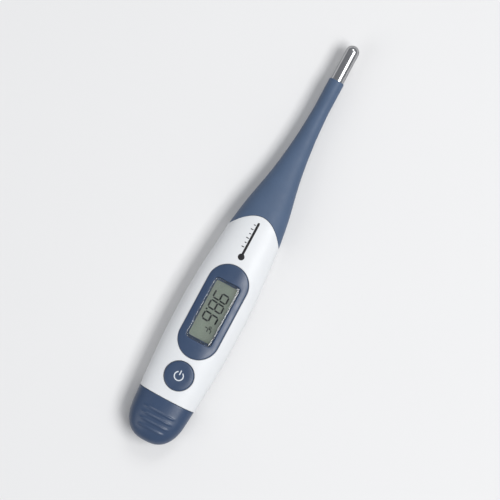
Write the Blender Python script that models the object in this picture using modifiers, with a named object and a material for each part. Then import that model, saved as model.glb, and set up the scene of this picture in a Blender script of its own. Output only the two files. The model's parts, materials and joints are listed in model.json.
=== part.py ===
"""Digital stick thermometer with a bendable neck, lying on its back with the display up.

Frame: metres, +Z up (out of the display), +X along the body towards the metal tip, origin on the
resting surface under the middle of the bounding box.  Every length below is in millimetres and is
multiplied by MM where geometry is made.  Stations along the body are given as u, the distance back
from the end of the metal tip.
"""

import math

import bmesh
import bpy
import numpy as np

# ---------------------------------------------------------------- driving dimensions (mm)
MM = 0.001
LENGTH = 134.0          # tip to tail
X_TIP = LENGTH / 2      # the tip's x
AXIS_Z = 5.6            # height of the neck axis and of the housing's parting plane
SIDE_STEPS = 40         # points round a full section

# outline in plan: station, half width
HALF_WIDTH = [(0, 2.4), (21.5, 2.4), (24.5, 2.53), (27.5, 2.69), (30.5, 2.9), (33.5, 3.2),
              (36.5, 3.53), (39.5, 3.93), (42.5, 4.38), (45.5, 4.92), (48.5, 5.54), (51.5, 6.2),
              (54.5, 6.84), (57.5, 7.4), (60.5, 7.86), (64.5, 8.45), (71.8, 9.12), (81, 9.92),
              (91, 10.3), (100, 10.22), (110, 9.8), (120, 9.1), (134, 8.0)]
# side profile: station, height above the axis; station, depth below it
TOP_RISE = [(0, 2.4), (22, 2.4), (30, 2.52), (38, 2.9), (46, 3.6), (54, 4.45), (62, 5.25),
            (70, 5.85), (80, 6.25), (90, 6.4), (100, 6.3), (110, 5.98), (120, 5.45), (134, 4.7)]
BELLY_DROP = [(0, 2.4), (22, 2.4), (30, 2.55), (38, 3.1), (46, 4.0), (52, 4.65), (58, 5.2),
              (64, 5.62), (70, 5.9), (110, 5.9), (134, 5.6)]
# squareness of the section: 2 is an ellipse
CROWN_POWER = [(0, 2.0), (28, 2.0), (60, 2.3), (134, 2.35)]
BELLY_POWER = [(0, 2.0), (28, 2.0), (62, 3.0), (134, 3.0)]
TAIL_START, TAIL_POWER = 124.0, 2.6

# metal tip
CAP_R, CAP_WALL, CAP_LENGTH, CAP_SHOWN = 2.05, 0.2, 15.5, 11.8
# bendable neck: hinge stations, nearest the housing first, pitch and yaw in turn
HINGES = [39.0, 35.0, 31.0, 27.0, 23.0, 19.0]
HINGE_GAP = 0.9
NECK_BORE_R = 1.1
# edge between the soft neck and the hard housing
EDGE_APEX, EDGE_SAG, EDGE_HALF = 58.4, 6.0, 8.43
SKIRT_WALL = 1.5
SHELL_WALL = 1.6
SEAM = 0.3              # gap between neighbouring mouldings
PART_GAP = 0.3          # gap on the parting plane
# display
BEZEL_FRONT, BEZEL_REAR, BEZEL_R = 74.8, 105.4, 6.35
LENS_FRONT, LENS_REAR, LENS_HALF, LENS_CORNER = 80.1, 100.1, 4.2, 1.2
BEZEL_FLOOR, LEDGE_Z, LENS_FLOOR = 10.2, 10.1, 10.9
# button
BUTTON_U, BUTTON_R, BUTTON_PROUD, BUTTON_TRAVEL = 111.6, 4.5, 0.45, 0.5
# tail
COVER_U = 119.5
CELL_U, CELL_R, CELL_H = 123.5, 3.95, 3.6
TRAY_END = 128.3


# ---------------------------------------------------------------- scene and helpers
for old in list(bpy.data.objects):
    bpy.data.objects.remove(old, do_unlink=True)

PARTS = bpy.data.collections.new("digital_thermometer")
CUTTERS = bpy.data.collections.new("cutters")
bpy.context.scene.collection.children.link(PARTS)
bpy.context.scene.collection.children.link(CUTTERS)


def material(name, colour, roughness, metallic=0.0, alpha=1.0):
    m = bpy.data.materials.new(name)
    m.use_nodes = True
    p = m.node_tree.nodes["Principled BSDF"]
    p.inputs["Base Color"].default_value = (*colour, 1.0)
    p.inputs["Roughness"].default_value = roughness
    p.inputs["Metallic"].default_value = metallic
    p.inputs["Alpha"].default_value = alpha
    return m


SLATE_SOFT = material("slate_elastomer", (0.095, 0.145, 0.225), 0.62)
SLATE_HARD = material("slate_plastic", (0.06, 0.09, 0.155), 0.4)
WHITE = material("white_plastic", (0.83, 0.84, 0.85), 0.35)
STEEL = material("stainless_steel", (0.62, 0.62, 0.62), 0.22, 1.0)
CLEAR = material("clear_lens", (0.9, 0.93, 0.93), 0.05, 0.0, 0.25)
GLASS = material("display_glass", (0.62, 0.68, 0.62), 0.1)
FILM = material("reflector_film", (0.5, 0.55, 0.5), 0.4, 0.3)
BOARD = material("board_green", (0.03, 0.16, 0.07), 0.45)
EPOXY = material("black_epoxy", (0.015, 0.015, 0.017), 0.35)
AMBER = material("amber_epoxy", (0.35, 0.17, 0.04), 0.3)
CERAMIC = material("ceramic", (0.55, 0.5, 0.42), 0.5)
BRASS = material("brass", (0.75, 0.56, 0.25), 0.3, 1.0)
NICKEL = material("nickel_plate", (0.66, 0.65, 0.62), 0.28, 1.0)
RUBBER = material("dark_rubber", (0.03, 0.03, 0.035), 0.7)
ZEBRA = material("zebra_rubber", (0.25, 0.25, 0.27), 0.6)
WIRE_RED = material("red_insulation", (0.45, 0.03, 0.02), 0.45)
WIRE_WHITE = material("white_insulation", (0.75, 0.75, 0.72), 0.45)
NYLON = material("natural_nylon", (0.72, 0.7, 0.62), 0.5)


def x_of(u):
    return (X_TIP - u) * MM


def smooth(table, u):
    """Monotone cubic through a table of (station, value)."""
    xs = np.array([p[0] for p in table], float)
    ys = np.array([p[1] for p in table], float)
    if u <= xs[0]:
        return float(ys[0])
    if u >= xs[-1]:
        return float(ys[-1])
    h, d = np.diff(xs), np.diff(ys) / np.diff(xs)
    m = np.zeros(len(xs))
    m[0], m[-1] = d[0], d[-1]
    for k in range(1, len(xs) - 1):
        if d[k - 1] * d[k] > 0:
            w1, w2 = 2 * h[k] + h[k - 1], h[k] + 2 * h[k - 1]
            m[k] = (w1 + w2) / (w1 / d[k - 1] + w2 / d[k])
    k = int(np.searchsorted(xs, u) - 1)
    t = (u - xs[k]) / h[k]
    return float(ys[k] * (1 + 2 * t) * (1 - t) ** 2 + m[k] * h[k] * t * (1 - t) ** 2
                 + ys[k + 1] * t * t * (3 - 2 * t) + m[k + 1] * h[k] * t * t * (t - 1))


def tail_factor(u):
    if u <= TAIL_START:
        return 1.0
    t = min(1.0, (u - TAIL_START) / (LENGTH - TAIL_START))
    return max(0.0, 1 - t ** TAIL_POWER) ** (1 / TAIL_POWER)


def section(u):
    """Half width, rise, drop, crown power, belly power at a station."""
    f = tail_factor(u)
    return (smooth(HALF_WIDTH, u) * f, smooth(TOP_RISE, u) * f, smooth(BELLY_DROP, u) * f,
            smooth(CROWN_POWER, u), smooth(BELLY_POWER, u))


def skin_point(u, angle, inset=0.0, floor=True):
    """A point (y, z) in mm of the section at u, angle from +Y towards +Z, drawn in by inset."""
    half, rise, drop, crown, belly = section(u)
    up = math.sin(angle) >= 0
    high, power = (rise, crown) if up else (drop, belly)
    c, s = math.cos(angle), math.sin(angle)
    y = (half - inset) * math.copysign(abs(c) ** (2 / power), c)
    z = (high - inset) * math.copysign(abs(s) ** (2 / power), s)
    z += AXIS_Z
    return y, max(z, inset) if floor else z


def crown_z(u, y, proud=0.0):
    """Height in mm of the housing's top above a point in plan."""
    half, rise, _, crown, _ = section(u)
    t = min(1.0, abs(y) / (half + proud))
    return AXIS_Z + (rise + proud) * (1 - t ** crown) ** (1 / crown)


def put(name, mesh, mat, origin=(0, 0, 0), rotation=(0, 0, 0), collection=PARTS, smooth_deg=40):
    obj = bpy.data.objects.new(name, mesh)
    obj.location, obj.rotation_euler = origin, rotation
    collection.objects.link(obj)
    if mat is not None:
        mesh.materials.append(mat)
    if smooth_deg:
        mesh.shade_smooth()
        mesh.set_sharp_from_angle(angle=math.radians(smooth_deg))
    return obj


def as_cutter(obj):
    for c in list(obj.users_collection):
        c.objects.unlink(obj)
    CUTTERS.objects.link(obj)
    obj.hide_render = True
    obj.display_type = "WIRE"
    return obj


def boolean(obj, cutter, operation="DIFFERENCE"):
    as_cutter(cutter)
    m = obj.modifiers.new(operation.lower() + "_" + cutter.name, "BOOLEAN")
    m.operation, m.solver, m.object = operation, "EXACT", cutter
    return obj


def loft(name, mat, rings, around=True, cap_start=True, cap_end=True, origin=(0, 0, 0), smooth_deg=40):
    """A skin through rings of points given in metres.  around closes each ring on itself."""
    bm = bmesh.new()
    o = np.array(origin, float)
    rows = [[bm.verts.new(np.array(p, float) - o) for p in ring] for ring in rings]
    n = len(rows[0])
    for a, b in zip(rows[:-1], rows[1:]):
        for k in range(n if around else n - 1):
            bm.faces.new((a[k], a[(k + 1) % n], b[(k + 1) % n], b[k]))
    if around and cap_start:
        bm.faces.new(list(reversed(rows[0])))
    if around and cap_end:
        bm.faces.new(rows[-1])
    bmesh.ops.recalc_face_normals(bm, faces=bm.faces)
    mesh = bpy.data.meshes.new(name)
    bm.to_mesh(mesh)
    bm.free()
    return put(name, mesh, mat, origin, smooth_deg=smooth_deg)


def face_outwards(obj, reference):
    """Turns an open skin so that its normals leave the reference point."""
    bm = bmesh.new()
    bm.from_mesh(obj.data)
    r = np.array(reference, float)
    votes = sum(f.normal.dot(f.calc_center_median() - bmesh_vector(r)) * f.calc_area() for f in bm.faces)
    if votes < 0:
        bmesh.ops.reverse_faces(bm, faces=bm.faces)
    bm.to_mesh(obj.data)
    bm.free()
    return obj


def bmesh_vector(a):
    from mathutils import Vector
    return Vector((float(a[0]), float(a[1]), float(a[2])))


def wall(obj, thickness):
    s = obj.modifiers.new("wall", "SOLIDIFY")
    s.thickness, s.offset = thickness * MM, -1.0
    s.use_even_offset, s.use_rim = True, True
    s.use_quality_normals = True
    return obj


def ring_at(u, inset=0.0, steps=SIDE_STEPS, floor=False):
    pts = []
    for k in range(steps):
        y, z = skin_point(u, 2 * math.pi * (k + 0.5) / steps, inset, floor)
        pts.append((x_of(u), y * MM, z * MM))
    return pts


def box(name, mat, lo, hi, bevel=0.0, collection=PARTS):
    """A box between two corners given in mm as (u or x, y, z); x is already in the part's frame."""
    c = [(a + b) / 2 * MM for a, b in zip(lo, hi)]
    bpy.ops.mesh.primitive_cube_add(size=1, location=c)
    obj = bpy.context.object
    obj.name = obj.data.name = name
    obj.scale = [(b - a) * MM for a, b in zip(lo, hi)]
    bpy.ops.object.transform_apply(location=False, rotation=False, scale=True)
    for k in list(obj.users_collection):
        k.objects.unlink(obj)
    collection.objects.link(obj)
    if mat is not None:
        obj.data.materials.append(mat)
    if bevel:
        b = obj.modifiers.new("edges", "BEVEL")
        b.width, b.segments = bevel * MM, 2
    return obj


def ubox(name, mat, u0, u1, y0, y1, z0, z1, bevel=0.0):
    return box(name, mat, (X_TIP - u1, y0, z0), (X_TIP - u0, y1, z1), bevel)


def cylinder(name, mat, u, y, z0, z1, r, steps=32, bevel=0.0):
    """An upright cylinder."""
    bpy.ops.mesh.primitive_cylinder_add(vertices=steps, radius=r * MM, depth=(z1 - z0) * MM,
                                        location=(x_of(u), y * MM, (z0 + z1) / 2 * MM))
    obj = bpy.context.object
    obj.name = obj.data.name = name
    for k in list(obj.users_collection):
        k.objects.unlink(obj)
    PARTS.objects.link(obj)
    if mat is not None:
        obj.data.materials.append(mat)
    obj.data.shade_smooth()
    obj.data.set_sharp_from_angle(angle=math.radians(40))
    if bevel:
        b = obj.modifiers.new("edges", "BEVEL")
        b.width, b.segments, b.limit_method = bevel * MM, 2, "ANGLE"
    return obj


def along_x(name, mat, u0, u1, y, z, r, steps=32):
    """A cylinder lying along the body."""
    obj = cylinder(name, mat, 0, 0, 0, u1 - u0, r, steps)
    obj.rotation_euler = (0, math.pi / 2, 0)
    obj.location = (x_of((u0 + u1) / 2), y * MM, z * MM)
    return obj


def turned(name, mat, profile, origin, rotation=(0, 0, 0), steps=32):
    """A profile of (radius, height) in mm turned about its own Z.  Outer side first, top to bottom."""
    mesh = bpy.data.meshes.new(name)
    closed = profile[0][0] > 1e-6 or profile[-1][0] > 1e-6
    pts = [(r * MM, 0, h * MM) for r, h in profile]
    edges = [(k, k + 1) for k in range(len(pts) - 1)]
    if closed:
        edges.append((len(pts) - 1, 0))
    mesh.from_pydata(pts, edges, [])
    obj = bpy.data.objects.new(name, mesh)
    PARTS.objects.link(obj)
    if mat is not None:
        mesh.materials.append(mat)
    s = obj.modifiers.new("turn", "SCREW")
    s.angle, s.steps, s.render_steps, s.axis = 2 * math.pi, steps, steps, "Z"
    s.use_merge_vertices, s.merge_threshold = True, 0.000002
    s.use_smooth_shade = True
    obj.location, obj.rotation_euler = origin, rotation
    return obj


def rounded_outline(half_x, half_y, r, per_corner=6):
    """Corner-rounded rectangle about the origin, anticlockwise, in mm."""
    pts = []
    for cx, cy, start in ((half_x - r, half_y - r, 0), (-half_x + r, half_y - r, 90),
                          (-half_x + r, -half_y + r, 180), (half_x - r, -half_y + r, 270)):
        for k in range(per_corner + 1):
            a = math.radians(start + 90 * k / per_corner)
            pts.append((cx + r * math.cos(a), cy + r * math.sin(a)))
    clean = []
    for p in pts:
        if not clean or math.hypot(p[0] - clean[-1][0], p[1] - clean[-1][1]) > 1e-4:
            clean.append(p)
    if math.hypot(clean[0][0] - clean[-1][0], clean[0][1] - clean[-1][1]) < 1e-4:
        clean.pop()
    return clean


def prism(name, mat, outline, centre_u, z0, z1):
    """An outline in plan raised from z0 to z1: a filled, extruded curve made into a mesh."""
    curve = bpy.data.curves.new(name, "CURVE")
    curve.dimensions, curve.fill_mode = "2D", "BOTH"
    curve.extrude = (z1 - z0) / 2 * MM
    s = curve.splines.new("POLY")
    s.points.add(len(outline) - 1)
    for p, (x, y) in zip(s.points, outline):
        p.co = (x * MM, y * MM, 0, 1)
    s.use_cyclic_u = True
    tmp = bpy.data.objects.new(name + "_outline", curve)
    PARTS.objects.link(tmp)
    tmp.location = (x_of(centre_u), 0, (z0 + z1) / 2 * MM)
    bpy.context.view_layer.update()
    mesh = bpy.data.meshes.new_from_object(tmp.evaluated_get(bpy.context.evaluated_depsgraph_get()))
    where = tmp.matrix_world.copy()
    bpy.data.objects.remove(tmp, do_unlink=True)
    bpy.data.curves.remove(curve)
    bm = bmesh.new()
    bm.from_mesh(mesh)
    bmesh.ops.remove_doubles(bm, verts=bm.verts, dist=0.000001)
    bmesh.ops.recalc_face_normals(bm, faces=bm.faces)
    bm.to_mesh(mesh)
    bm.free()
    mesh.materials.clear()
    mesh.name = name
    obj = bpy.data.objects.new(name, mesh)
    PARTS.objects.link(obj)
    obj.matrix_world = where
    if mat is not None:
        mesh.materials.append(mat)
    return obj


def wire(name, mat, points, r, resolution=2):
    """A round wire through points given in mm, as a curve with filled caps."""
    curve = bpy.data.curves.new(name, "CURVE")
    curve.dimensions, curve.bevel_depth, curve.bevel_resolution = "3D", r * MM, resolution
    curve.use_fill_caps = True
    s = curve.splines.new("POLY")
    s.points.add(len(points) - 1)
    for p, q in zip(s.points, points):
        p.co = (q[0] * MM, q[1] * MM, q[2] * MM, 1)
    obj = bpy.data.objects.new(name, curve)
    PARTS.objects.link(obj)
    curve.materials.append(mat)
    return obj


def empty(name, at):
    e = bpy.data.objects.new(name, None)
    e.empty_display_size = 0.004
    e.location = at
    PARTS.objects.link(e)
    return e


def ride(child, parent):
    """Parents without moving the child."""
    bpy.context.view_layer.update()
    child.parent = parent
    child.matrix_parent_inverse = parent.matrix_world.inverted()


def edge_u(y):
    """Station of the edge between the soft neck and the housing, above a point in plan."""
    return EDGE_APEX + EDGE_SAG * (y / EDGE_HALF) ** 2


def edge_station(angle, shift):
    """Where that edge crosses the skin's line at this angle."""
    u = EDGE_APEX
    for _ in range(30):
        y, _z = skin_point(u, angle)
        u = 0.5 * u + 0.5 * (edge_u(y) + shift)
    return u


# ---------------------------------------------------------------- metal tip and what is in it
ALONG = (0, math.pi / 2, 0)      # turns a piece's Z to the part's +X

dome = [(CAP_R * math.sin(math.radians(a)), CAP_LENGTH - CAP_R + CAP_R * math.cos(math.radians(a)))
        for a in range(0, 91, 15)]
inner_r = CAP_R - CAP_WALL
inner_dome = [(inner_r * math.sin(math.radians(a)), CAP_LENGTH - CAP_R + inner_r * math.cos(math.radians(a)))
              for a in range(90, -1, -18)]
dome[0], inner_dome[-1] = (0.0, CAP_LENGTH), (0.0, CAP_LENGTH - CAP_WALL)
cap = turned("probe_tip_cap", STEEL, dome + [(CAP_R, 0), (inner_r, 0)] + inner_dome,
             (x_of(CAP_LENGTH), 0, AXIS_Z * MM), ALONG, 28)

bpy.ops.mesh.primitive_uv_sphere_add(segments=16, ring_count=10, radius=1, location=(x_of(2.7), 0, AXIS_Z * MM))
bead = bpy.context.object
bead.name = bead.data.name = "thermistor_bead"
bead.scale = (1.0 * MM, 0.8 * MM, 0.8 * MM)
bpy.ops.object.transform_apply(location=False, rotation=False, scale=True)
for k in list(bead.users_collection):
    k.objects.unlink(bead)
PARTS.objects.link(bead)
bead.data.materials.append(EPOXY)
bead.data.shade_smooth()

LEAD_Y, LEAD_R = 0.5, 0.2
potting = along_x("tip_potting", AMBER, 4.4, 10.2, 0, AXIS_Z, 1.75, 32)
for side, sign in (("a", 1), ("b", -1)):
    boolean(potting, along_x("lead_hole_" + side, None, 4.0, 10.8, sign * LEAD_Y, AXIS_Z, 0.32, 12))

# ---------------------------------------------------------------- soft neck: collar, rings, skirt
collar_end = HINGES[-1] - HINGE_GAP / 2
bore = CAP_R + 0.05
collar = turned("neck_collar", SLATE_SOFT,
                [(2.25, collar_end - CAP_SHOWN), (2.4, collar_end - CAP_SHOWN - 0.15), (2.4, 0), (NECK_BORE_R, 0),
                 (NECK_BORE_R, collar_end - CAP_LENGTH - 0.1), (bore, collar_end - CAP_LENGTH - 0.1),
                 (bore, collar_end - CAP_SHOWN)],
                (x_of(collar_end), 0, AXIS_Z * MM), ALONG, 32)

joint_empties = []
for k, u in enumerate(HINGES):
    joint_empties.append(empty("hinge_%d" % (k + 1), (x_of(u), 0, AXIS_Z * MM)))

for k in range(len(HINGES) - 1):
    u_back, u_front = HINGES[k] - HINGE_GAP / 2, HINGES[k + 1] + HINGE_GAP / 2
    origin = (x_of(HINGES[k]), 0, AXIS_Z * MM)
    stations = np.linspace(u_front, u_back, 3)
    ring = loft("neck_ring_%d" % (k + 1), SLATE_SOFT, [ring_at(u, 0, 32) for u in stations], origin=origin)
    boolean(ring, along_x("ring_bore_%d" % (k + 1), None, u_front - 2, u_back + 2, 0, AXIS_Z, NECK_BORE_R, 16))
    ride(ring, joint_empties[k])
ride(collar, joint_empties[-1])
for piece in (cap, bead, potting):
    ride(piece, joint_empties[-1])

# skirt: the wide end of the soft neck, ending on the curved edge
skirt_front = HINGES[0] + HINGE_GAP / 2
rows, T = [], np.linspace(0, 1, 10)
for t in T:
    row = []
    for k in range(SIDE_STEPS):
        angle = 2 * math.pi * (k + 0.5) / SIDE_STEPS
        u = skirt_front + t * (edge_station(angle, -SEAM / 2) - skirt_front)
        y, z = skin_point(u, angle)
        row.append((x_of(u), y * MM, z * MM))
    rows.append(row)
skirt = loft("neck_skirt", SLATE_SOFT, rows, cap_start=False, cap_end=False)
face_outwards(skirt, (x_of(52), 0, AXIS_Z * MM))
wall(skirt, SKIRT_WALL)

# stiff insert that the soft neck is moulded on, held between the two shells
insert_rows = [ring_at(u, 2.05, 28) for u in np.linspace(48, 69, 7)]
insert = loft("neck_insert", WHITE, insert_rows, cap_start=False, cap_end=False)
face_outwards(insert, (x_of(60), 0, AXIS_Z * MM))
wall(insert, 1.0)

# ---------------------------------------------------------------- the two housing shells
HALF = SIDE_STEPS // 2
shell_rear = COVER_U - SEAM / 2
stations = np.linspace(0, 1, 17)


def shell_rows(upper):
    rows = []
    for t in stations:
        row = []
        for k in range(HALF + 1):
            angle = math.pi * k / HALF * (1 if upper else -1)
            u = edge_station(angle, SEAM / 2)
            u = u + t * (shell_rear - u)
            y, z = skin_point(u, angle)
            if k in (0, HALF):
                z = AXIS_Z + (PART_GAP / 2 if upper else -PART_GAP / 2)
            row.append((x_of(u), y * MM, z * MM))
        rows.append(row)
    return rows


front_shell = loft("front_shell", WHITE, shell_rows(True), around=False)
face_outwards(front_shell, (x_of(92), 0, AXIS_Z * MM))
wall(front_shell, SHELL_WALL)
bezel_mid = (BEZEL_FRONT + BEZEL_REAR) / 2
bezel_half = (BEZEL_REAR - BEZEL_FRONT) / 2


def stadium(grow, steps=12):
    return rounded_outline(bezel_half + grow, BEZEL_R + grow, BEZEL_R + grow - 0.0005, steps)


boolean(front_shell, prism("bezel_recess", None, stadium(0.15), bezel_mid, LEDGE_Z, 15))
boolean(front_shell, prism("bezel_well", None, stadium(-1.0), bezel_mid, 6.5, 15.5))
boolean(front_shell, cylinder("button_hole", None, BUTTON_U, 0, 6.5, 15, BUTTON_R + 0.15, 40))

rear_shell = loft("rear_shell", WHITE, shell_rows(False), around=False)
face_outwards(rear_shell, (x_of(92), 0, AXIS_Z * MM))
wall(rear_shell, SHELL_WALL)
for k, (u, y) in enumerate(((76.0, 5.6), (76.0, -5.6), (111.0, 5.6), (111.0, -5.6))):
    boolean(rear_shell, cylinder("chassis_post_%d" % k, None, u, y, 0.8, 4.7, 0.9, 12), "UNION")

# ---------------------------------------------------------------- display: bezel, lens, panel
def crowned(name, mat, outline, centre_u, floor_z, proud, grid=(10, 8)):
    """An outline raised from floor_z to the housing's crown, kept proud of it by a little."""
    obj = prism(name, mat, outline, centre_u, floor_z, 14)
    u0 = centre_u - max(p[0] for p in outline) - 3
    u1 = centre_u + max(p[0] for p in outline) + 3
    rows = []
    for u in np.linspace(u0, u1, grid[0]):
        half, rise, _, crown, _ = section(u)
        row = []
        for k in range(26):
            a = math.pi * k / 25
            c, s = math.cos(a), max(0.0, math.sin(a))
            row.append((x_of(u), (half + proud) * math.copysign(abs(c) ** (2 / crown), c) * MM,
                        (AXIS_Z + (rise + proud) * s ** (2 / crown)) * MM))
        rows.append(row)
    top = loft(name + "_crown", None, rows, around=True, smooth_deg=0)
    boolean(obj, top, "INTERSECT")
    return obj


bezel = crowned("display_bezel", SLATE_HARD, stadium(0), bezel_mid, BEZEL_FLOOR, 0.08, (14, 8))
lens_mid, lens_half = (LENS_FRONT + LENS_REAR) / 2, (LENS_REAR - LENS_FRONT) / 2
boolean(bezel, prism("lens_seat", None, rounded_outline(lens_half, LENS_HALF, LENS_CORNER, 4),
                     lens_mid, LENS_FLOOR - 0.1, 15))
boolean(bezel, prism("view_window", None, rounded_outline(lens_half - 0.9, LENS_HALF - 0.7, 0.7, 4),
                     lens_mid, 9, 15.5))
lens = crowned("display_lens", CLEAR, rounded_outline(lens_half - 0.1, LENS_HALF - 0.1, LENS_CORNER - 0.1, 4),
               lens_mid, LENS_FLOOR, 0.0, (10, 8))

ubox("lcd_front_glass", GLASS, 79.0, 101.2, -4.8, 4.8, 9.35, 9.95)
ubox("lcd_rear_glass", GLASS, 79.0, 101.2, -3.45, 3.45, 8.65, 9.25)
ubox("lcd_reflector", FILM, 79.4, 100.8, -3.3, 3.3, 8.35, 8.55)
ubox("zebra_strip_left", ZEBRA, 80.5, 99.7, 3.6, 4.8, 7.2, 9.25)
ubox("zebra_strip_right", ZEBRA, 80.5, 99.7, -4.8, -3.6, 7.2, 9.25)
lcd_frame = ubox("lcd_frame", NYLON, 78.0, 102.2, -5.8, 5.8, 7.2, 8.7)
boolean(lcd_frame, ubox("lcd_frame_opening", None, 78.9, 101.3, -4.95, 4.95, 7.0, 9.0))

# ---------------------------------------------------------------- board and its parts
board = ubox("circuit_board", BOARD, 69.5, 115.8, -5.7, 5.7, 6.3, 7.1)
boolean(board, ubox("board_tab", None, 115.0, 118.2, -4.2, 4.2, 6.3, 7.1), "UNION")
bpy.ops.mesh.primitive_uv_sphere_add(segments=20, ring_count=12, radius=1, location=(x_of(84), 0, 6.2 * MM))
glob = bpy.context.object
glob.name = glob.data.name = "chip_glob"
glob.scale = (3.2 * MM, 3.0 * MM, 1.2 * MM)
bpy.ops.object.transform_apply(location=False, rotation=False, scale=True)
for k in list(glob.users_collection):
    k.objects.unlink(glob)
PARTS.objects.link(glob)
glob.data.materials.append(EPOXY)
glob.data.shade_smooth()
boolean(glob, ubox("glob_trim", None, 78, 90, -5, 5, 6.22, 8))
for name, mat, u, y, l, w, h in (("smd_capacitor_1", CERAMIC, 104.0, 2.2, 2.0, 1.25, 0.8),
                                 ("smd_capacitor_2", CERAMIC, 104.0, -2.2, 2.0, 1.25, 0.8),
                                 ("smd_resistor_1", EPOXY, 108.0, 2.2, 1.6, 0.8, 0.45),
                                 ("smd_resistor_2", EPOXY, 108.0, -2.2, 1.6, 0.8, 0.45)):
    ubox(name, mat, u - l / 2, u + l / 2, y - w / 2, y + w / 2, 6.2 - h, 6.2)

ubox("switch_body", EPOXY, BUTTON_U - 2.25, BUTTON_U + 2.25, -2.25, 2.25, 7.2, 8.4)
cover_plate = ubox("switch_plate", NICKEL, BUTTON_U - 2.2, BUTTON_U + 2.2, -2.2, 2.2, 8.5, 8.65)
boolean(cover_plate, cylinder("plate_hole", None, BUTTON_U, 0, 8, 9, 1.15, 20))
plunger = cylinder("switch_plunger", NYLON, BUTTON_U, 0, 9.0, 9.35, 0.95, 20)
boolean(plunger, cylinder("plunger_stalk", None, BUTTON_U, 0, 8.45 + BUTTON_TRAVEL, 9.2, 0.7, 20), "UNION")

# ---------------------------------------------------------------- button: capped cup with a flange and a stem
button = cylinder("power_button", SLATE_HARD, BUTTON_U, 0, 8.4, 14, BUTTON_R, 36)
rows = []
for u in np.linspace(BUTTON_U - 8.3, BUTTON_U + 7.9, 9):
    half, rise, _, crown, _ = section(u)
    row = []
    for k in range(36):
        a = math.pi * k / 35
        c, s = math.cos(a), max(0.0, math.sin(a))
        row.append((x_of(u), (half + BUTTON_PROUD) * math.copysign(abs(c) ** (2 / crown), c) * MM,
                    (AXIS_Z + (rise + BUTTON_PROUD) * s ** (2 / crown)) * MM))
    rows.append(row)
boolean(button, loft("button_crown", None, rows, around=True, smooth_deg=0), "INTERSECT")
boolean(button, cylinder("button_flange", None, BUTTON_U, 0, 8.1, 8.75, 4.95, 36), "UNION")
boolean(button, cylinder("button_cavity", None, BUTTON_U, 0, 7.0, 10.3, 3.7, 32))
boolean(button, cylinder("button_stem", None, BUTTON_U, 0, 9.4, 10.9, 1.3, 20), "UNION")
button_joint = empty("button_slide", (x_of(BUTTON_U), 0, 8.1 * MM))
ride(button, button_joint)

# ---------------------------------------------------------------- buzzer
BUZZ_U = 97.0
cylinder("buzzer_plate", BRASS, BUZZ_U, 0, 1.8, 2.0, 5.5, 32)
cylinder("buzzer_ceramic", CERAMIC, BUZZ_U, 0, 2.1, 2.3, 4.0, 28)
for k, y in ((1, 1.8), (2, -1.8)):
    turns, per = 4, 8
    z0, z1 = 2.6, 6.05
    pts = []
    for i in range(turns * per + 1):
        a = 2 * math.pi * i / per
        pts.append((X_TIP - BUZZ_U + 0.8 * math.cos(a), y + 0.8 * math.sin(a), z0 + (z1 - z0) * i / (turns * per)))
    wire("buzzer_spring_%d" % k, NICKEL, pts, 0.13)

# ---------------------------------------------------------------- chassis with the battery tray
chassis = ubox("chassis", NYLON, 70.5, 116.2, -6.3, 6.3, 4.9, 6.2)
boolean(chassis, ubox("chassis_opening", None, 73.5, 113.5, -4.9, 4.9, 4.0, 7.0))
tray_half = (TRAY_END - 114.8) / 2
boolean(chassis, prism("battery_tray", None, rounded_outline(tray_half, 4.5, 2.6, 5), 114.8 + tray_half, 3.15, 6.1), "UNION")
boolean(chassis, cylinder("cell_pocket", None, CELL_U, 0, 3.6, 9.0, CELL_R + 0.15, 32))
boolean(chassis, ubox("negative_slot", None, 114.5, 122.0, -1.3, 1.3, 3.55, 4.7))

# ---------------------------------------------------------------- button cell and its contacts
cell_z = 3.95
cell = turned("battery_can", STEEL,
              [(0, cell_z + CELL_H), (CELL_R - 0.3, cell_z + CELL_H), (CELL_R, cell_z + CELL_H - 0.3),
               (CELL_R, cell_z + 0.35), (CELL_R - 0.35, cell_z + 0.15), (CELL_R - 0.35, cell_z + 0.55),
               (0, cell_z + 0.55)], (x_of(CELL_U), 0, 0), (0, 0, 0), 36)
turned("battery_cap", NICKEL, [(0, cell_z + 0.42), (2.9, cell_z + 0.42), (2.95, cell_z + 0.12), (2.6, cell_z), (0, cell_z)],
       (x_of(CELL_U), 0, 0), (0, 0, 0), 36)
turned("battery_gasket", NYLON, [(3.12, cell_z + 0.45), (3.42, cell_z + 0.45), (3.42, cell_z + 0.12), (3.12, cell_z + 0.12)][::1],
       (x_of(CELL_U), 0, 0), (0, 0, 0), 36)


def strip(name, mat, path, width, thick):
    """A bent metal strip: a centre line in (u, z), given a width across the body."""
    rows = []
    for i, (u, z) in enumerate(path):
        a = np.array(path[max(i - 1, 0)], float)
        b = np.array(path[min(i + 1, len(path) - 1)], float)
        d = (b - a) / np.linalg.norm(b - a)
        n = np.array([-d[1], d[0]]) * thick / 2
        if 0 < i < len(path) - 1:
            d1 = np.array(path[i], float) - a
            d1 /= np.linalg.norm(d1)
            n /= max(0.5, abs(float(np.dot([-d[1], d[0]], [-d1[1], d1[0]]))))
        rows.append([((X_TIP - (u + s * n[0])) * MM, y * MM, (z + s * n[1]) * MM)
                     for s, y in ((1, -width / 2), (1, width / 2), (-1, width / 2), (-1, -width / 2))])
    return loft(name, mat, rows, smooth_deg=0)


strip("battery_contact_positive", NICKEL,
      [(114.9, 7.3), (118.0, 7.3), (119.2, 7.75), (121.5, 7.95), (124.5, 7.78), (126.0, 7.95)], 2.6, 0.2)
strip("battery_contact_negative", NICKEL,
      [(115.6, 4.45), (115.6, 3.8), (122.2, 3.72), (124.0, 3.78), (125.4, 3.72)], 2.0, 0.18)

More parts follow.
